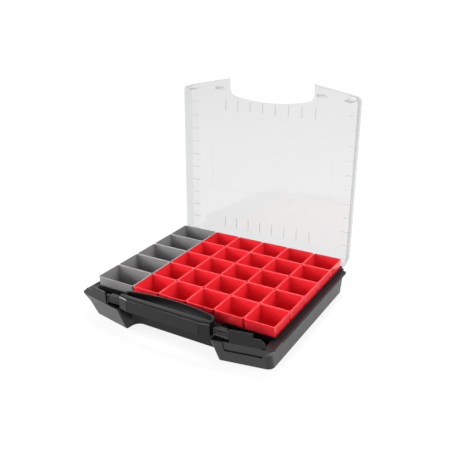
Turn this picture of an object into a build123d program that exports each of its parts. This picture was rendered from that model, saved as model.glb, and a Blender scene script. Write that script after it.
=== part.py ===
"""Small-parts organizer case: a drafted tub with side rails, a clear hinged lid held open just past
upright, a carrying grip between two rocker latches, and a field of lift-out insert boxes.

Frame: millimetres, +Z up, origin at the middle of the base's underside, grip towards -Y.
The lid is modelled shut and then turned open about its hinge line.
"""

import os
from math import atan2, cos, radians, tan

from build123d import *

os.makedirs("parts", exist_ok=True)

MEET = 1.0  # how far joined shapes run into each other
CUT = 5.0  # how far a cutter runs past the surface that it opens

# ---- insert boxes -------------------------------------------------------------------------------
PITCH = 53.0  # box module
BOX_ROWS = 5
RED_COLUMNS = 5
GREY_WIDTH = 77.1
FIELD_LEFT = -171.1
FIELD_FRONT = -110.0
FIELD_REAR = FIELD_FRONT + BOX_ROWS * PITCH
FIELD_MIDDLE = (FIELD_FRONT + FIELD_REAR) / 2
BOX_FOOT = 3.2
BOX_RIM = 66.3
BOX_WALL = 1.5
BOX_FLOOR = 1.6
BOX_GAP = 0.36  # between neighbouring boxes at the rim
BOX_DRAFT = 1.1  # each side, rim to foot
BOX_CORNER = 4.0
RIM_ROUND = 0.6
FOOT_ROUND = 2.0

# ---- base ---------------------------------------------------------------------------------------
FLOOR = 3.0
DECK = 47.0  # top of the walls and rails, where the lid sits down
LIP = 51.0  # top of the inner upstand that the lid shuts over
WALL_SIDE_FOOT = 173.3
WALL_SIDE_DECK = 177.5
WALL_REAR_FOOT = 158.0
WALL_REAR_DECK = 159.8
RAIL_INNER, RAIL_SIDE = 174.0, 183.5
RAIL_FRONT, RAIL_REAR = -110.0, 148.0
RAIL_UNDERSIDE = 42.4
RAIL_SLOT_Z, RAIL_SLOT_BOTTOM = (43.8, 45.6), 179.0  # the groove along the rail's outer face
RAIL_EDGE, RAIL_CHANNEL, RAIL_GROOVE = 2.0, 176.4, 1.0
STOP_FOOT, STOP_TOP = 32.0, 43.0  # the front corners widen to the rails between these heights
NOSE_FOOT = (89.5, -137.8)
NOSE_DECK = (87.7, -158.2)
NOTCH = (86.5, -114.0)
BUMP_ANGLE = 10.5
BUMP_SLOPE = tan(radians(BUMP_ANGLE))
REAR_ROUND, FRONT_ROUND, NOSE_ROUND, NOTCH_ROUND = 10.0, 12.0, 3.0, 14.0
WELL_SIDE, WELL_END_GAP, WELL_GROW = 171.5, 0.3, 0.6
UPSTAND_SIDE, UPSTAND_FRONT, UPSTAND_REAR, UPSTAND_CORNER = 173.4, -113.0, 158.0, 5.0
DIVIDER_FRONT = -114.0
POCKET_INNER, POCKET_FLOOR = 92.5, 4.0
POCKET_FLOOR_END, POCKET_DECK_END = 146.0, 168.0
POCKET_FLOOR_WALL, POCKET_DECK_WALL = 2.0, 6.0
EAR_START, EAR_STEP, EAR_CURVE, EAR_END = 117.5, 153.0, 162.0, 171.0
EAR_TOP, EAR_SHOULDER, EAR_END_TOP = 69.0, 61.5, 51.0
EAR_THICK, EAR_ROOT, EAR_GAP = 1.9, 0.5, 0.7
EAR_BULGE, EAR_MARGIN = 2.0, 3.0
LEFT_EAR_INSET, RIGHT_EAR_INSET = 0.3, 1.7  # the right-hand one stands flush with the label panel
FOOT_EDGE_ROUND, SMALL_ROUND = 1.5, 0.5
LABEL_X, LABEL_Z, LABEL_SINK = (103.0, 162.5), (26.0, 60.0), 1.4
LABEL_CORNER = 2.0

# ---- carrying grip ------------------------------------------------------------------------------
TOP = 72.0
GRIP_HALF = 86.0
GRIP_FLAT_HALF = 69.0  # the front face turns back outside this
GRIP_FRONT, GRIP_END_FRONT, GRIP_BACK = -158.0, -154.6, -144.5
GRIP_UNDERSIDE = 49.0
GRIP_ROUND, GRIP_BACK_ROUND = 5.5, 3.0
GRIP_WALL = 2.6
GRIP_SEAM_X, GRIP_SEAM, GRIP_SEAM_TOP = 68.4, 0.8, 65.0  # grooves where the ends meet the front
ARCH_MIDDLE, ARCH_END = -123.0, -134.0
ARCH_ROUND = 10.0
ARM_INNER, ARM_TOP = 77.0, 61.0
RETURN_FRONT, RETURN_FRONT_TOP = -147.0, 63.0
SHELF_THICK, SHELF_HALF, SHELF_REAR = 2.5, 85.0, -111.5

# ---- lid ----------------------------------------------------------------------------------------
LID_RIM = 47.3
LID_SIDE_RIM, LID_SIDE_TOP = 176.6, 173.8
LID_REAR_RIM, LID_REAR_TOP = 165.5, 163.5
LID_NOSE_RIM, LID_NOSE_TOP = (87.0, -158.8), (87.0, -158.4)
LID_WALL = 2.2
LID_ROUND, LID_EDGE_ROUND = 14.0, 2.0
EAR_ROOM = 4.4  # how far the front wall's openings reach behind the bump's front edge
LID_GAP, LID_ARCH_GAP = 0.8, 4.6  # beside the grip's ends and behind its arch
FIN_THICK, FIN_FOOT, SIDE_FIN_LENGTH, SIDE_FIN_THICK = 1.2, 66.9, 16.0, 0.8
FRONT_FINS, REAR_FINS = (-117.6, -98.4), (117.8, 138.2)
RIDGE_END, RIDGE_MIDDLE, RIDGE_WIDTH, RIDGE_DROP = (104.0, -96.0), -87.6, 1.4, 0.5
FRAME_HALF_X, FRAME_FRONT, FRAME_REAR = 128.0, -25.5, 62.0
FRAME_LINE, FRAME_RISE, FRAME_ROUND = 1.4, 0.5, 8.0
TAB_X, TAB_WIDTH, TAB_THICK, TAB_FOOT = 157.5, 12.0, 2.2, 45.0
TAB_SETBACK = POCKET_DECK_WALL + 1.7  # from the bump's front face to the tab's

# ---- hinge --------------------------------------------------------------------------------------
HINGE_Y, HINGE_Z = 163.5, 43.5
OPEN_ANGLE = 92.7
HINGE_X = (110.0, 0.0, -110.0)
KNUCKLE_R, PIN_R, PIN_CLEARANCE = 3.0, 1.5, 0.05
LID_KNUCKLE, BASE_KNUCKLE, KNUCKLE_GAP = 20.0, 9.0, 0.4
PIN_LENGTH = LID_KNUCKLE + 2 * (KNUCKLE_GAP + BASE_KNUCKLE)

# ---- latches ------------------------------------------------------------------------------------
LATCH_X = (90.0, 116.6)
LATCH_Y = (-150.6, -146.6)
LATCH_Z = (51.6, 64.0)
PIVOT_Y, PIVOT_Z, TRUNNION_R, BARREL_R = -145.0, 51.4, 1.5, 2.2
CHEEK, CHEEK_GAP = 1.6, 0.3
CHEEK_Y, CHEEK_Z = (-148.0, -141.0), (44.0, 55.0)
HOOK_X, HOOK_BACK, HOOK_Z = (96.0, 111.0), -141.6, (61.2, 63.6)
DISH_MARGIN, DISH_HALF, DISH_DEPTH = 2.4, 4.6, 1.1
LATCH_WINDOW_X, LATCH_WINDOW_TOP = (86.0, 119.4), 66.0
CATCH_NOSE, CATCH_BACK, CATCH_THICK, CATCH_Z = -143.4, -138.4, 2.4, (57.2, 60.4)


def write(piece, name):
    piece.label = name
    export_step(piece, f"parts/{name}.step")


def block(x, y, z, mode=Mode.ADD):
    """A plain box between two limits on each axis."""
    centre = ((x[0] + x[1]) / 2, (y[0] + y[1]) / 2, (z[0] + z[1]) / 2)
    with Locations(centre):
        Box(abs(x[1] - x[0]), abs(y[1] - y[0]), abs(z[1] - z[0]), mode=mode)


def rod(radius, x, y, z, mode=Mode.ADD):
    """A round bar along X between two x limits."""
    with BuildSketch(Plane.YZ.offset(x[0]), mode=Mode.PRIVATE) as section:
        with Locations((y, z)):
            Circle(radius)
    extrude(section.sketch, amount=x[1] - x[0], mode=mode)


def front_line(nose, x):
    """y of a bump's front face at x, from the corner beside the grip."""
    return nose[1] + (x - nose[0]) * BUMP_SLOPE


def wall_at(foot, deck, level):
    """A drafted wall's place at a height, from its places at the foot and at the deck."""
    return foot + (deck - foot) * level / DECK


def outline(corners, rounds, height):
    """Closed outline from its right-hand corners and their radii, mirrored to the left."""
    points = corners + [(-x, y) for x, y in reversed(corners)]
    with BuildSketch(Plane.XY.offset(height)) as closed:
        with BuildLine():
            FilletPolyline(*points, radius=rounds + rounds[::-1], close=True)
        make_face()
    return closed.sketch


def tub_outline(side, rear, nose, height):
    corners = [(side, rear), (side, front_line(nose, side)), nose, NOTCH]
    return outline(corners, [REAR_ROUND, FRONT_ROUND, NOSE_ROUND, NOTCH_ROUND], height)


def lid_outline(side, rear, nose, height, inset=0.0):
    """The lid's outline without its cut-out. inset moves every edge inwards."""
    side, rear, nose = side - inset, rear - inset, (nose[0], nose[1] + inset)
    corners = [(side, rear), (side, front_line(nose, side)), nose]
    return outline(corners, [LID_ROUND - inset, FRONT_ROUND - inset, NOSE_ROUND], height)


def arch_outline(ends, back, front, height):
    """Plan of the space behind the grip: straight ends, arched back, both moved out by a distance."""
    half, end, middle = GRIP_HALF + ends, ARCH_END + back, ARCH_MIDDLE + back
    with BuildSketch(Plane.XY.offset(height)) as space:
        with BuildLine():
            Line((half, front), (half, end))
            ThreePointArc((half, end), (0, middle), (-half, end))
            Line((-half, end), (-half, front))
            Line((-half, front), (half, front))
        make_face()
        fillet(space.vertices().group_by(Axis.Y)[-1], ARCH_ROUND + back)
    return space.sketch


def box_section(width, inset, corner, height):
    with BuildSketch(Plane.XY.offset(height)) as section:
        RectangleRounded(width - BOX_GAP - 2 * inset, PITCH - BOX_GAP - 2 * inset, corner)
    return section.sketch


# ---- insert boxes -------------------------------------------------------------------------------
def insert_box(width):
    """A thin-walled box, drafted, with rounded corners and a rounded rim, foot at z = 0."""
    height = BOX_RIM - BOX_FOOT
    with BuildPart() as hollow:
        add(box_section(width, BOX_WALL + BOX_DRAFT, BOX_CORNER - BOX_WALL, BOX_FLOOR))
        add(box_section(width, BOX_WALL, BOX_CORNER - BOX_WALL, height))
        loft(ruled=True)
    with BuildPart() as shell:
        add(box_section(width, BOX_DRAFT, BOX_CORNER, 0))
        add(box_section(width, 0, BOX_CORNER, height))
        loft(ruled=True)
        fillet(shell.faces().sort_by(Axis.Z)[0].edges(), FOOT_ROUND)
        add(hollow.part, mode=Mode.SUBTRACT)
        fillet(shell.faces().sort_by(Axis.Z)[-1].edges(), RIM_ROUND)
    return shell.part


red_box = insert_box(PITCH)
grey_box = insert_box(GREY_WIDTH)
for row in range(BOX_ROWS):
    box_y = FIELD_FRONT + (row + 0.5) * PITCH
    grey_place = Location((FIELD_LEFT + GREY_WIDTH / 2, box_y, BOX_FOOT))
    write(grey_box.moved(grey_place), f"grey_box_row{row + 1}")
    for column in range(RED_COLUMNS):
        red_place = Location((FIELD_LEFT + GREY_WIDTH + (column + 0.5) * PITCH, box_y, BOX_FOOT))
        write(red_box.moved(red_place), f"red_box_row{row + 1}_column{column + 1}")

# ---- base shell ---------------------------------------------------------------------------------
with BuildPart() as rail_stops:  # the front corners, widened to the rails
    for level, side in (
        (STOP_FOOT, wall_at(WALL_SIDE_FOOT, WALL_SIDE_DECK, STOP_FOOT)),
        (STOP_TOP, RAIL_SIDE),
        (DECK, RAIL_SIDE),
    ):
        rear = wall_at(WALL_REAR_FOOT, WALL_REAR_DECK, level)
        nose = tuple(wall_at(foot, deck, level) for foot, deck in zip(NOSE_FOOT, NOSE_DECK))
        add(tub_outline(side, rear, nose, level))
    loft(ruled=True)
    split(bisect_by=Plane((0, RAIL_FRONT, 0), z_dir=(0, 1, 0)), keep=Keep.BOTTOM)

with BuildPart() as rails:  # two lips with a groove between them, and a shallow channel on top
    for side in (-1, 1):
        reach = (side * RAIL_INNER, side * RAIL_SIDE)
        block(reach, (RAIL_FRONT - MEET, RAIL_REAR), (RAIL_UNDERSIDE, DECK))
    long_edges = rails.edges().filter_by(Axis.Y)
    fillet(long_edges.filter_by(lambda edge: abs(edge.center().X) > RAIL_SLOT_BOTTOM), SMALL_ROUND)
    for side in (-1, 1):
        block(
            (side * RAIL_SLOT_BOTTOM, side * (RAIL_SIDE + CUT)),
            (RAIL_FRONT, RAIL_REAR + CUT),
            RAIL_SLOT_Z,
            Mode.SUBTRACT,
        )
        block(
            (side * RAIL_CHANNEL, side * (RAIL_SIDE - RAIL_EDGE)),
            (RAIL_FRONT, RAIL_REAR - RAIL_EDGE),
            (DECK - RAIL_GROOVE, DECK + CUT),
            Mode.SUBTRACT,
        )

with BuildPart() as upstand:  # inner rim that the lid shuts over
    with BuildSketch(Plane.XY.offset(DECK - MEET)):
        with Locations((0, (UPSTAND_FRONT + UPSTAND_REAR) / 2)):
            RectangleRounded(2 * UPSTAND_SIDE, UPSTAND_REAR - UPSTAND_FRONT, UPSTAND_CORNER)
    extrude(amount=LIP - DECK + MEET)
    fillet(upstand.faces().sort_by(Axis.Z)[-1].edges(), SMALL_ROUND)



def ear_outline(grow):
    """An ear seen from the front: tall beside the latch, stepped down, then curved to the deck."""
    start, step, end = EAR_START - grow, EAR_STEP + grow, EAR_END + grow
    top, shoulder, root = EAR_TOP + grow, EAR_SHOULDER + grow, DECK - EAR_ROOT - grow
    bend_x, bend_z = (EAR_CURVE + end) / 2 + EAR_BULGE, (shoulder + EAR_END_TOP) / 2 + EAR_BULGE
    with BuildSketch(Plane.XZ) as face:
        with BuildLine():
            Polyline((end, EAR_END_TOP), (end, root), (start, root), (start, top), (step, top))
            Polyline((step, top), (step, shoulder), (EAR_CURVE, shoulder))
            ThreePointArc((EAR_CURVE, shoulder), (bend_x, bend_z), (end, EAR_END_TOP))
        make_face()
    return face.sketch


def ear_slab(near, far, grow=0.0):
    """The ear's outline carried between two setbacks from the bump's front edge, on the right side."""
    with BuildPart() as slab:
        extrude(ear_outline(grow), amount=-2 * NOSE_DECK[1], dir=(0, -1, 0))
        start, end = EAR_START - EAR_MARGIN, EAR_END + EAR_MARGIN
        with BuildSketch():
            with BuildLine():
                Polyline(
                    (start, front_line(NOSE_DECK, start) + near),
                    (end, front_line(NOSE_DECK, end) + near),
                    (end, front_line(NOSE_DECK, end) + far),
                    (start, front_line(NOSE_DECK, start) + far),
                    close=True,
                )
            make_face()
        extrude(amount=TOP, mode=Mode.INTERSECT)
    return slab.part


def ear(inset):
    """A raised wall on a bump, outboard of the latch, with its front edges eased."""
    with BuildPart() as wall:
        add(ear_slab(inset, inset + EAR_THICK))
        front = wall.faces().sort_by(SortBy.AREA)[-2:].sort_by(Axis.Y)[0]
        fillet(front.edges().filter_by(lambda edge: edge.center().Z > EAR_SHOULDER - MEET), SMALL_ROUND)
    return wall.part


with BuildPart() as well:  # the space for the insert boxes
    for level, grow in ((FLOOR, 0), (LIP, WELL_GROW)):
        with BuildSketch(Plane.XY.offset(level)):
            with Locations((0, FIELD_MIDDLE)):
                RectangleRounded(
                    2 * (WELL_SIDE + grow),
                    FIELD_REAR - FIELD_FRONT + 2 * (WELL_END_GAP + grow),
                    BOX_CORNER,
                )
    loft(ruled=True)

with BuildPart() as pocket:  # behind the right-hand bump, below the latch
    for level, nose, end, wall in (
        (POCKET_FLOOR, NOSE_FOOT, POCKET_FLOOR_END, POCKET_FLOOR_WALL),
        (DECK, NOSE_DECK, POCKET_DECK_END, POCKET_DECK_WALL),
    ):
        setback = wall / cos(atan2(BUMP_SLOPE, 1))
        with BuildSketch(Plane.XY.offset(level)):
            with BuildLine():
                Polyline(
                    (POCKET_INNER, DIVIDER_FRONT),
                    (POCKET_INNER, front_line(nose, POCKET_INNER) + setback),
                    (end, front_line(nose, end) + setback),
                    (end, DIVIDER_FRONT),
                    close=True,
                )
            make_face()
    loft(ruled=True)

BUMP_LEAN = (front_line(NOSE_FOOT, 0) - front_line(NOSE_DECK, 0)) / DECK
bump_face = Plane(
    origin=(0, front_line(NOSE_FOOT, 0), 0),
    x_dir=(1, BUMP_SLOPE, 0),
    z_dir=(BUMP_SLOPE, -1, -BUMP_LEAN),
)
with BuildPart() as label_sink:  # label panel sunk into the right-hand bump, open at its top
    stretch = (1 + BUMP_SLOPE**2) ** 0.5
    rise = (1 + BUMP_LEAN**2 / (1 + BUMP_SLOPE**2)) ** 0.5
    with BuildSketch(bump_face):
        with Locations((sum(LABEL_X) / 2 * stretch, sum(LABEL_Z) / 2 * rise)):
            RectangleRounded(
                (LABEL_X[1] - LABEL_X[0]) * stretch,
                (LABEL_Z[1] - LABEL_Z[0]) * rise,
                LABEL_CORNER,
            )
    extrude(amount=LABEL_SINK, both=True)

with BuildPart() as base_shell:
    add(tub_outline(WALL_SIDE_FOOT, WALL_REAR_FOOT, NOSE_FOOT, 0))
    add(tub_outline(WALL_SIDE_DECK, WALL_REAR_DECK, NOSE_DECK, DECK))
    loft(ruled=True)
    fillet(base_shell.faces().sort_by(Axis.Z)[0].edges(), FOOT_EDGE_ROUND)
    add(rail_stops.part)
    add(rails.part)
    add(upstand.part)
    block((-GRIP_HALF, GRIP_HALF), (UPSTAND_FRONT - MEET, FIELD_FRONT), (DECK, LIP + CUT), Mode.SUBTRACT)
    add(well.part, mode=Mode.SUBTRACT)
    add(pocket.part, mode=Mode.SUBTRACT)
    add(pocket.part.mirror(Plane.YZ), mode=Mode.SUBTRACT)
    add(label_sink.part, mode=Mode.SUBTRACT)
    add(ear(RIGHT_EAR_INSET))
    add(ear(LEFT_EAR_INSET).mirror(Plane.YZ))
    # hinge knuckles on the rear wall
    for middle in HINGE_X:
        for near in (middle - PIN_LENGTH / 2, middle + LID_KNUCKLE / 2 + KNUCKLE_GAP):
            reach = (near, near + BASE_KNUCKLE)
            block(reach, (WALL_REAR_DECK - 2, HINGE_Y), (HINGE_Z - KNUCKLE_R, HINGE_Z + KNUCKLE_R))
            rod(KNUCKLE_R, reach, HINGE_Y, HINGE_Z)
        pin_reach = (middle - PIN_LENGTH / 2, middle + PIN_LENGTH / 2)
        rod(PIN_R, pin_reach, HINGE_Y, HINGE_Z, Mode.SUBTRACT)
    # cheeks that carry the latch pivots
    for side in (-1, 1):
        for near in (LATCH_X[0] - CHEEK_GAP - CHEEK, LATCH_X[1] + CHEEK_GAP):
            block((side * near, side * (near + CHEEK)), CHEEK_Y, CHEEK_Z)
    cheek_end = LATCH_X[1] + CHEEK_GAP + CHEEK
    rod(TRUNNION_R + PIN_CLEARANCE, (-cheek_end, cheek_end), PIVOT_Y, PIVOT_Z, Mode.SUBTRACT)
write(base_shell.part, "base_shell")

# ---- hinge pins ---------------------------------------------------------------------------------
with BuildPart() as hinge_pins:
    for middle in HINGE_X:
        rod(PIN_R, (middle - PIN_LENGTH / 2, middle + PIN_LENGTH / 2), HINGE_Y, HINGE_Z)
write(hinge_pins.part, "hinge_pins")

# ---- carrying grip ------------------------------------------------------------------------------
with BuildPart() as grip_bar:  # open below, its front corners turned back
    with BuildSketch(Plane.XY.offset(GRIP_UNDERSIDE)):
        with BuildLine():
            Polyline(
                (GRIP_HALF, GRIP_BACK),
                (GRIP_HALF, GRIP_END_FRONT),
                (GRIP_FLAT_HALF, GRIP_FRONT),
                (-GRIP_FLAT_HALF, GRIP_FRONT),
                (-GRIP_HALF, GRIP_END_FRONT),
                (-GRIP_HALF, GRIP_BACK),
                close=True,
            )
        make_face()
    extrude(amount=TOP - GRIP_UNDERSIDE)
    top_edges = grip_bar.faces().sort_by(Axis.Z)[-1].edges()
    front_edges = top_edges.filter_by(lambda edge: edge.center().Y < GRIP_END_FRONT)
    fillet(front_edges, GRIP_ROUND)
    back_edge = grip_bar.faces().sort_by(Axis.Z)[-1].edges().filter_by(Axis.X).sort_by(Axis.Y)[-1]
    fillet(back_edge, GRIP_BACK_ROUND)
    for side in (-1, 1):
        block(
            (side * GRIP_SEAM_X, side * (GRIP_SEAM_X + GRIP_SEAM)),
            (GRIP_FRONT - CUT, GRIP_FRONT + GRIP_SEAM),
            (GRIP_UNDERSIDE - CUT, GRIP_SEAM_TOP),
            Mode.SUBTRACT,
        )
    block(
        (-GRIP_HALF + GRIP_WALL, GRIP_HALF - GRIP_WALL),
        (GRIP_END_FRONT + GRIP_WALL, GRIP_BACK - GRIP_WALL),
        (GRIP_UNDERSIDE - CUT, TOP - GRIP_ROUND),
        Mode.SUBTRACT,
    )

with BuildPart() as grip_arch:  # wall behind the fingers, its ends turned forward and sloped down
    add(arch_outline(0, 0, RETURN_FRONT, DECK))
    extrude(amount=TOP - DECK)
    add(arch_outline(-GRIP_WALL, -GRIP_WALL, RETURN_FRONT - CUT, DECK))
    extrude(amount=TOP - DECK, mode=Mode.SUBTRACT)
    with BuildSketch(Plane.YZ.offset(-GRIP_HALF)):
        with BuildLine():
            Polyline(
                (RETURN_FRONT, RETURN_FRONT_TOP),
                (ARCH_END - 2, TOP),
                (RETURN_FRONT, TOP),
                close=True,
            )
        make_face()
    extrude(amount=2 * GRIP_HALF, mode=Mode.SUBTRACT)

with BuildPart() as grip_shelf:  # rests on the tub's front wall
    block((-SHELF_HALF, SHELF_HALF), (RETURN_FRONT, SHELF_REAR), (DECK, DECK + SHELF_THICK))
    add(arch_outline(-GRIP_WALL, -GRIP_WALL, RETURN_FRONT - CUT, DECK))
    extrude(amount=SHELF_THICK, mode=Mode.SUBTRACT)

with BuildPart() as carry_handle:
    add(grip_bar.part)
    add(grip_arch.part)
    add(grip_shelf.part)
    for side in (-1, 1):  # arms that carry the bar
        block(
            (side * ARM_INNER, side * (GRIP_HALF - 0.5)),
            (GRIP_BACK - MEET, ARCH_END - MEET),
            (GRIP_UNDERSIDE, ARM_TOP),
        )
write(carry_handle.part, "carry_handle")

# ---- latches ------------------------------------------------------------------------------------
with BuildPart() as latch:
    block(LATCH_X, LATCH_Y, LATCH_Z)
    block(LATCH_X, (LATCH_Y[1] - MEET, PIVOT_Y), (PIVOT_Z - BARREL_R, PIVOT_Z + BARREL_R))
    rod(BARREL_R, LATCH_X, PIVOT_Y, PIVOT_Z)
    rod(TRUNNION_R, (LATCH_X[0] - CHEEK, LATCH_X[1] + CHEEK), PIVOT_Y, PIVOT_Z)
    block(HOOK_X, (LATCH_Y[1], HOOK_BACK), HOOK_Z)
    with BuildSketch(Plane.YZ.offset(LATCH_X[0] + DISH_MARGIN)):
        with BuildLine():
            dish_z = (LATCH_Z[0] + LATCH_Z[1]) / 2
            low, high = (LATCH_Y[0], dish_z - DISH_HALF), (LATCH_Y[0], dish_z + DISH_HALF)
            ThreePointArc(low, (LATCH_Y[0] + DISH_DEPTH, dish_z), high)
            Line(high, low)
        make_face()
    extrude(amount=LATCH_X[1] - LATCH_X[0] - 2 * DISH_MARGIN, mode=Mode.SUBTRACT)
write(latch.part, "right_latch")
write(latch.part.mirror(Plane.YZ), "left_latch")

# ---- lid ----------------------------------------------------------------------------------------
with BuildPart() as lid_hollow:
    add(lid_outline(LID_SIDE_RIM, LID_REAR_RIM, LID_NOSE_RIM, LID_RIM, LID_WALL))
    add(lid_outline(LID_SIDE_TOP, LID_REAR_TOP, LID_NOSE_TOP, TOP - LID_WALL, LID_WALL))
    loft(ruled=True)

with BuildPart() as lid_right:  # catch and corner tab of the right-hand side, hung from the panel
    block(HOOK_X, (CATCH_BACK - CATCH_THICK, CATCH_BACK), (CATCH_Z[0], TOP - MEET))
    block(HOOK_X, (CATCH_NOSE, CATCH_BACK), CATCH_Z)
    tab_y = front_line(NOSE_DECK, TAB_X) + TAB_SETBACK + TAB_THICK / 2
    with BuildSketch(Plane.XY.offset(TAB_FOOT)):
        with Locations(Location((TAB_X, tab_y), BUMP_ANGLE)):
            Rectangle(TAB_WIDTH, TAB_THICK)
    extrude(amount=TOP - MEET - TAB_FOOT)

with BuildPart() as lid:
    add(lid_outline(LID_SIDE_RIM, LID_REAR_RIM, LID_NOSE_RIM, LID_RIM))
    add(lid_outline(LID_SIDE_TOP, LID_REAR_TOP, LID_NOSE_TOP, TOP))
    loft(ruled=True)
    fillet(lid.faces().sort_by(Axis.Z)[-1].edges(), LID_EDGE_ROUND)
    add(lid_hollow.part, mode=Mode.SUBTRACT)
    # cut-out that clears the grip, and windows for the latches
    add(arch_outline(LID_GAP, LID_ARCH_GAP, GRIP_FRONT - CUT, LID_RIM - CUT))
    extrude(amount=TOP - LID_RIM + 2 * CUT, mode=Mode.SUBTRACT)
    for side in (-1, 1):
        window = (side * LATCH_WINDOW_X[0], side * LATCH_WINDOW_X[1])
        depth = (GRIP_FRONT - CUT, LATCH_Y[1] + MEET)
        block(window, depth, (LID_RIM - CUT, LATCH_WINDOW_TOP), Mode.SUBTRACT)
    ear_room = ear_slab(-CUT, EAR_ROOM, EAR_GAP)
    add(ear_room, mode=Mode.SUBTRACT)
    add(ear_room.mirror(Plane.YZ), mode=Mode.SUBTRACT)
    add(lid_right.part)
    add(lid_right.part.mirror(Plane.YZ))
    # locating fins under the panel, over the walls and middles of the insert boxes
    half_module = PITCH / 2
    for step in range(2 * RED_COLUMNS - 2):
        x = FIELD_LEFT + GREY_WIDTH + step * half_module
        for reach in (FRONT_FINS, REAR_FINS):
            block((x - FIN_THICK / 2, x + FIN_THICK / 2), reach, (FIN_FOOT, TOP - LID_WALL / 2))
    for step in range(2 * BOX_ROWS + 1):
        y = FIELD_FRONT + step * half_module
        for side in (-1, 1):
            block(
                (side * (LID_SIDE_TOP - LID_WALL - SIDE_FIN_LENGTH), side * (LID_SIDE_TOP - LID_WALL / 2)),
                (y - SIDE_FIN_THICK / 2, y + SIDE_FIN_THICK / 2),
                (FIN_FOOT, TOP - LID_WALL / 2),
            )
    # low ridge behind the front fins
    with BuildSketch(Plane.XY.offset(TOP - LID_WALL - RIDGE_DROP)):
        with BuildLine():
            ThreePointArc((-RIDGE_END[0], RIDGE_END[1]), (0, RIDGE_MIDDLE), RIDGE_END)
        trace(line_width=RIDGE_WIDTH)
    extrude(amount=RIDGE_DROP + LID_WALL / 2)
    # raised plain frame on the panel
    with BuildSketch(Plane.XY.offset(TOP)):
        with Locations((0, (FRAME_FRONT + FRAME_REAR) / 2)):
            RectangleRounded(2 * FRAME_HALF_X, FRAME_REAR - FRAME_FRONT, FRAME_ROUND)
            RectangleRounded(
                2 * (FRAME_HALF_X - FRAME_LINE),
                FRAME_REAR - FRAME_FRONT - 2 * FRAME_LINE,
                FRAME_ROUND - FRAME_LINE,
                mode=Mode.SUBTRACT,
            )
    extrude(amount=FRAME_RISE)
    # hinge knuckles below the rear wall
    for middle in HINGE_X:
        reach = (middle - LID_KNUCKLE / 2, middle + LID_KNUCKLE / 2)
        block(reach, (HINGE_Y, LID_REAR_RIM), (HINGE_Z, LID_RIM + MEET))
        rod(KNUCKLE_R, reach, HINGE_Y, HINGE_Z)
        rod(PIN_R + PIN_CLEARANCE, reach, HINGE_Y, HINGE_Z, Mode.SUBTRACT)

hinge_line = Axis((0, HINGE_Y, HINGE_Z), (1, 0, 0))
write(lid.part.rotate(hinge_line, -OPEN_ANGLE), "lid")
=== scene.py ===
"""Looks of the small-parts organizer: camera, studio, and the finish of every moulded piece.

All sizes are in metres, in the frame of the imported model.
"""

from math import cos, radians, sin

import bpy
from mathutils import Matrix, Vector

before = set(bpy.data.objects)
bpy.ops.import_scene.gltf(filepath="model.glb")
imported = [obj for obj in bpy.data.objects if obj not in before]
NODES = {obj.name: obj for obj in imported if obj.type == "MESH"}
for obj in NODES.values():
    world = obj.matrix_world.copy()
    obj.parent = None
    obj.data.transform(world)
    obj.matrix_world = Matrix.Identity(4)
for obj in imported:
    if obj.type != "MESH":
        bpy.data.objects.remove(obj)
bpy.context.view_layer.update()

# ---- camera -------------------------------------------------------------------------------------
LOOK_AT = (0.0216, 0.0, 0.1593)
DISTANCE = 0.9921
AZIMUTH, ELEVATION, ROLL = 31.75, 22.22, -1.35  # degrees
LENS = 47.8  # mm
CLIP = (0.01, 50)

# ---- studio -------------------------------------------------------------------------------------
WHITE = (1, 1, 1, 1)
SKY = 1.02  # what the eye sees behind the object
ROOM, BACKDROP = 0.32, 1.15  # what light and reflections see: a dim room, a bright sheet behind
BACKDROP_SIDE, BACKDROP_EDGE = (-0.53, 0.85, 0.0), (0.25, 0.75)  # where it stands, how it fades in
SOFTBOXES = {  # place, aim, width and height, watts
    "top_softbox": ((0.1, 0.3, 1.6), (0, 0, 0), (0.6, 0.6), 28),
    "left_softbox": ((-1.5, -0.75, 0.55), (-0.1, 0, 0.05), (0.9, 0.8), 40),
    "right_softbox": ((1.6, 0.25, 0.75), (0.1, 0, 0.05), (0.9, 0.8), 24),
    "front_softbox": ((-0.3, -1.9, 0.7), (0, -0.1, 0.05), (1.4, 0.7), 22),
}

FLOOR_HALF = 12.0
FLOOR_COLOUR, FLOOR_SHADE = 0.12, 0.1188
FLOOR_ROUGHNESS, FLOOR_SHINE, FLOOR_MOTTLE = 0.9, 0.1, 3.0
GLOW_NEAR, GLOW_FAR = 0.84, 0.92  # the paper's own light, near the object and away from it
GLOW_RADII = (0.4, 1.8)  # where the one begins to give way to the other, and where it has

# ---- finishes: noise scales are in features per metre --------------------------------------------
PLASTIC_IOR = 1.5
DRIFT_SCALE, GLOSS_SCALE, WAVE_SCALE = 14.0, 60.0, 9.0
WAVE_STRENGTH, WAVE_DEPTH, GRAIN_DEPTH = 0.05, 0.0006, 0.00008
MOULDED = {  # colour, shade, roughness range, shine, grain strength, grain size
    "case_plastic": ((0.006, 0.006, 0.0063), (0.004, 0.004, 0.0043), (0.22, 0.34), 0.26, 0.4, 0.0006),
    "latch_plastic": ((0.006, 0.006, 0.0065), (0.004, 0.004, 0.0045), (0.20, 0.30), 0.3, 0.3, 0.0006),
    "red_plastic": ((0.70, 0.022, 0.032), (0.65, 0.019, 0.028), (0.16, 0.24), 0.7, 0.15, 0.0009),
    "grey_plastic": ((0.200, 0.196, 0.196), (0.190, 0.186, 0.186), (0.18, 0.26), 0.7, 0.15, 0.0009),
}

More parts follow.
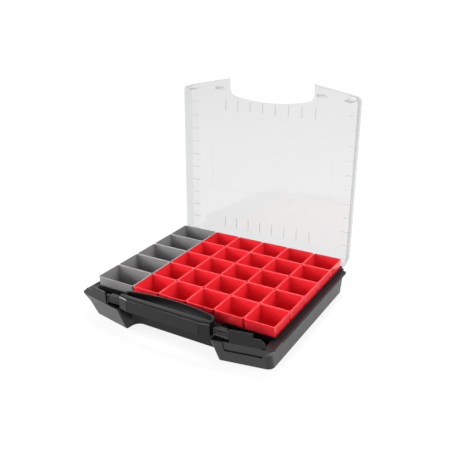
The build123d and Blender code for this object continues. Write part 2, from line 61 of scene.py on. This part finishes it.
CLEAR_TINT, CLEAR_EDGE_TINT = (0.88, 0.88, 0.88), (0.72, 0.73, 0.73)  # face-on and edge-on
CLEAR_TINT_BLEND, CLEAR_TINT_SPAN = 0.5, (0.1, 1.0)
CLEAR_SHINE_BLEND, CLEAR_ROUGHNESS, CLEAR_GLOSS_SCALE = 0.08, (0.04, 0.10), 40.0
CLEAR_WAVE_SCALE, CLEAR_WAVE_STRENGTH, CLEAR_WAVE_DEPTH = 7.0, 0.15, 0.0008

STEEL_TONE, STEEL_LIGHT_TONE, STEEL_ROUGHNESS = (0.42, 0.42, 0.43), (0.60, 0.60, 0.61), (0.22, 0.38)
SCRATCH_SCALE, SCRATCH_STRETCH = 900.0, (0.05, 1, 1)

FINISH_OF_NODE = {  # the insert boxes are named by their colour
    "base_shell": "case_plastic",
    "carry_handle": "case_plastic",
    "left_latch": "latch_plastic",
    "right_latch": "latch_plastic",
    "hinge_pins": "pin_steel",
    "lid": "clear_polycarbonate",
}


def add_camera():
    data = bpy.data.cameras.new("camera")
    data.lens = LENS
    data.clip_start, data.clip_end = CLIP
    camera = bpy.data.objects.new("camera", data)
    bpy.context.scene.collection.objects.link(camera)
    turn, lift = radians(AZIMUTH), radians(ELEVATION)
    back = Vector((sin(turn) * cos(lift), -cos(turn) * cos(lift), sin(lift)))
    facing = (-back).to_track_quat("-Z", "Y").to_matrix() @ Matrix.Rotation(radians(ROLL), 3, "Z")
    camera.matrix_world = Matrix.Translation(Vector(LOOK_AT) + back * DISTANCE) @ facing.to_4x4()
    bpy.context.scene.camera = camera


def softbox(name, place, target, size, watts):
    data = bpy.data.lights.new(name, "AREA")
    data.shape = "RECTANGLE"
    data.size, data.size_y = size
    data.energy = watts
    light = bpy.data.objects.new(name, data)
    light.location = place
    aim = Vector(target) - Vector(place)
    light.rotation_euler = aim.to_track_quat("-Z", "Y").to_euler()
    light.visible_camera = False
    bpy.context.scene.collection.objects.link(light)


def add_world():
    """White to the eye all round; light and reflections see a bright sheet behind and a dim room."""
    world = bpy.data.worlds.new("studio")
    world.use_nodes = True
    tree = world.node_tree
    room, output = tree.nodes["Background"], tree.nodes["World Output"]
    direction = tree.nodes.new("ShaderNodeTexCoord").outputs["Generated"]
    toward = tree.nodes.new("ShaderNodeVectorMath")
    toward.operation = "DOT_PRODUCT"
    toward.inputs[1].default_value = BACKDROP_SIDE
    tree.links.new(direction, toward.inputs[0])
    spread = tree.nodes.new("ShaderNodeMapRange")
    spread.interpolation_type = "SMOOTHSTEP"
    spread.inputs["From Min"].default_value, spread.inputs["From Max"].default_value = BACKDROP_EDGE
    spread.inputs["To Min"].default_value = ROOM
    spread.inputs["To Max"].default_value = BACKDROP
    tree.links.new(toward.outputs["Value"], spread.inputs["Value"])
    tree.links.new(spread.outputs["Result"], room.inputs["Strength"])
    room.inputs["Color"].default_value = WHITE
    eye = tree.nodes.new("ShaderNodeBackground")
    eye.inputs["Color"].default_value = WHITE
    eye.inputs["Strength"].default_value = SKY
    choose = tree.nodes.new("ShaderNodeMixShader")
    tree.links.new(tree.nodes.new("ShaderNodeLightPath").outputs["Is Camera Ray"], choose.inputs[0])
    tree.links.new(room.outputs[0], choose.inputs[1])
    tree.links.new(eye.outputs[0], choose.inputs[2])
    tree.links.new(choose.outputs[0], output.inputs["Surface"])
    bpy.context.scene.world = world
    bpy.context.scene.view_settings.view_transform = "Standard"


def add_floor():
    mesh = bpy.data.meshes.new("floor")
    corners = [(-1, -1), (1, -1), (1, 1), (-1, 1)]
    mesh.from_pydata([(x * FLOOR_HALF, y * FLOOR_HALF, 0) for x, y in corners], [], [(0, 1, 2, 3)])
    floor = bpy.data.objects.new("floor", mesh)
    bpy.context.scene.collection.objects.link(floor)
    floor.data.materials.append(floor_finish())


def add_studio():
    add_world()
    add_floor()
    for name, values in SOFTBOXES.items():
        softbox(name, *values)


class Finish:
    """A node material around one Principled shader, with helpers for the usual textures."""

    def __init__(self, name):
        self.material = bpy.data.materials.new(name)
        self.material.use_nodes = True
        self.tree = self.material.node_tree
        self.shader = self.tree.nodes["Principled BSDF"]
        self.output = self.tree.nodes["Material Output"]
        self.place = self.tree.nodes.new("ShaderNodeTexCoord").outputs["Object"]

    def set(self, **values):
        for name, value in values.items():
            self.shader.inputs[name.replace("_", " ").title().replace("Ior", "IOR")].default_value = value

    def link(self, source, target):
        self.tree.links.new(source, target)

    def drive(self, name, source):
        """Feeds one of the shader's inputs from a texture."""
        self.link(source, self.shader.inputs[name])

    def node(self, kind, **inputs):
        made = self.tree.nodes.new(kind)
        for name, value in inputs.items():
            made.inputs[name.replace("_", " ").title()].default_value = value
        return made

    def noise(self, scale, detail=2.0, stretch=(1, 1, 1)):
        """Noise over the object, as a 0 to 1 value."""
        mapping = self.node("ShaderNodeMapping", scale=stretch)
        self.link(self.place, mapping.inputs["Vector"])
        texture = self.node("ShaderNodeTexNoise", scale=scale, detail=detail)
        self.link(mapping.outputs["Vector"], texture.inputs["Vector"])
        return texture.outputs["Fac"]

    def ramp(self, value, low, high, start=0.3, end=0.7):
        """Spreads a 0 to 1 value between two colours."""
        ramp = self.tree.nodes.new("ShaderNodeValToRGB")
        for element, position, colour in zip(ramp.color_ramp.elements, (start, end), (low, high)):
            element.position = position
            element.color = (*colour, 1)
        self.link(value, ramp.inputs["Fac"])
        return ramp.outputs["Color"]

    def span(self, value, low, high, start=0.0, end=1.0):
        """Maps a value between start and end to a range."""
        span = self.tree.nodes.new("ShaderNodeMapRange")
        span.inputs["From Min"].default_value = start
        span.inputs["From Max"].default_value = end
        span.inputs["To Min"].default_value = low
        span.inputs["To Max"].default_value = high
        self.link(value, span.inputs["Value"])
        return span.outputs["Result"]

    def bumps(self, *layers):
        """Chains (height, strength, distance) layers into the shader's normal."""
        normal = None
        for height, strength, distance in layers:
            bump = self.node("ShaderNodeBump", strength=strength, distance=distance)
            self.link(height, bump.inputs["Height"])
            if normal:
                self.link(normal, bump.inputs["Normal"])
            normal = bump.outputs["Normal"]
        self.drive("Normal", normal)


def floor_finish():
    """White paper that glows a little, and more away from the object, like a lit sweep."""
    finish = Finish("floor_paper")
    tone = finish.ramp(finish.noise(FLOOR_MOTTLE), [FLOOR_SHADE] * 3, [FLOOR_COLOUR] * 3)
    finish.drive("Base Color", tone)
    finish.set(roughness=FLOOR_ROUGHNESS, specular_ior_level=FLOOR_SHINE, emission_color=WHITE)
    radius = finish.node("ShaderNodeVectorMath")
    radius.operation = "LENGTH"
    finish.link(finish.place, radius.inputs[0])
    glow = finish.span(radius.outputs["Value"], GLOW_NEAR, GLOW_FAR, *GLOW_RADII)
    finish.drive("Emission Strength", glow)
    return finish.material


def moulded(name, colour, shade, roughness, shine, grain, grain_size):
    """Injection-moulded plastic: slow colour drift, uneven gloss, and a fine eroded grain."""
    finish = Finish(name)
    finish.drive("Base Color", finish.ramp(finish.noise(DRIFT_SCALE, detail=3.0), shade, colour))
    finish.drive("Roughness", finish.span(finish.noise(GLOSS_SCALE, detail=4.0), *roughness))
    finish.bumps(
        (finish.noise(WAVE_SCALE, detail=1.0), WAVE_STRENGTH, WAVE_DEPTH),
        (finish.noise(1 / grain_size), grain, GRAIN_DEPTH),
    )
    finish.set(ior=PLASTIC_IOR, specular_ior_level=shine)
    return finish.material


def clear_plastic(name):
    """Clear polycarbonate: passes light with a faint grey tint that deepens edge-on, under a gloss."""
    finish = Finish(name)
    edge = finish.node("ShaderNodeLayerWeight", blend=CLEAR_TINT_BLEND)
    tint = finish.ramp(edge.outputs["Facing"], CLEAR_TINT, CLEAR_EDGE_TINT, *CLEAR_TINT_SPAN)
    through = finish.tree.nodes.new("ShaderNodeBsdfTransparent")
    finish.link(tint, through.inputs["Color"])
    finish.set(base_color=WHITE, metallic=1.0)
    finish.drive("Roughness", finish.span(finish.noise(CLEAR_GLOSS_SCALE), *CLEAR_ROUGHNESS))
    finish.bumps((finish.noise(CLEAR_WAVE_SCALE, detail=1.0), CLEAR_WAVE_STRENGTH, CLEAR_WAVE_DEPTH))
    shine = finish.node("ShaderNodeLayerWeight", blend=CLEAR_SHINE_BLEND)
    mix = finish.tree.nodes.new("ShaderNodeMixShader")
    finish.link(shine.outputs["Facing"], mix.inputs[0])
    finish.link(through.outputs[0], mix.inputs[1])
    finish.link(finish.shader.outputs[0], mix.inputs[2])
    finish.link(mix.outputs[0], finish.output.inputs["Surface"])
    return finish.material


def steel(name):
    """Drawn steel wire, with fine scratches along the pin."""
    finish = Finish(name)
    scratches = finish.noise(SCRATCH_SCALE, detail=3.0, stretch=SCRATCH_STRETCH)
    finish.drive("Base Color", finish.ramp(scratches, STEEL_TONE, STEEL_LIGHT_TONE))
    finish.drive("Roughness", finish.span(scratches, *STEEL_ROUGHNESS))
    finish.set(metallic=1.0)
    return finish.material


def finish_name(node):
    for colour in ("red", "grey"):
        if node.startswith(f"{colour}_box"):
            return f"{colour}_plastic"
    return FINISH_OF_NODE[node]


def add_finishes():
    finishes = {name: moulded(name, *values) for name, values in MOULDED.items()}
    finishes["clear_polycarbonate"] = clear_plastic("clear_polycarbonate")
    finishes["pin_steel"] = steel("pin_steel")
    for name, piece in NODES.items():
        piece.data.materials.clear()
        piece.data.materials.append(finishes[finish_name(name)])


add_finishes()
add_camera()
add_studio()
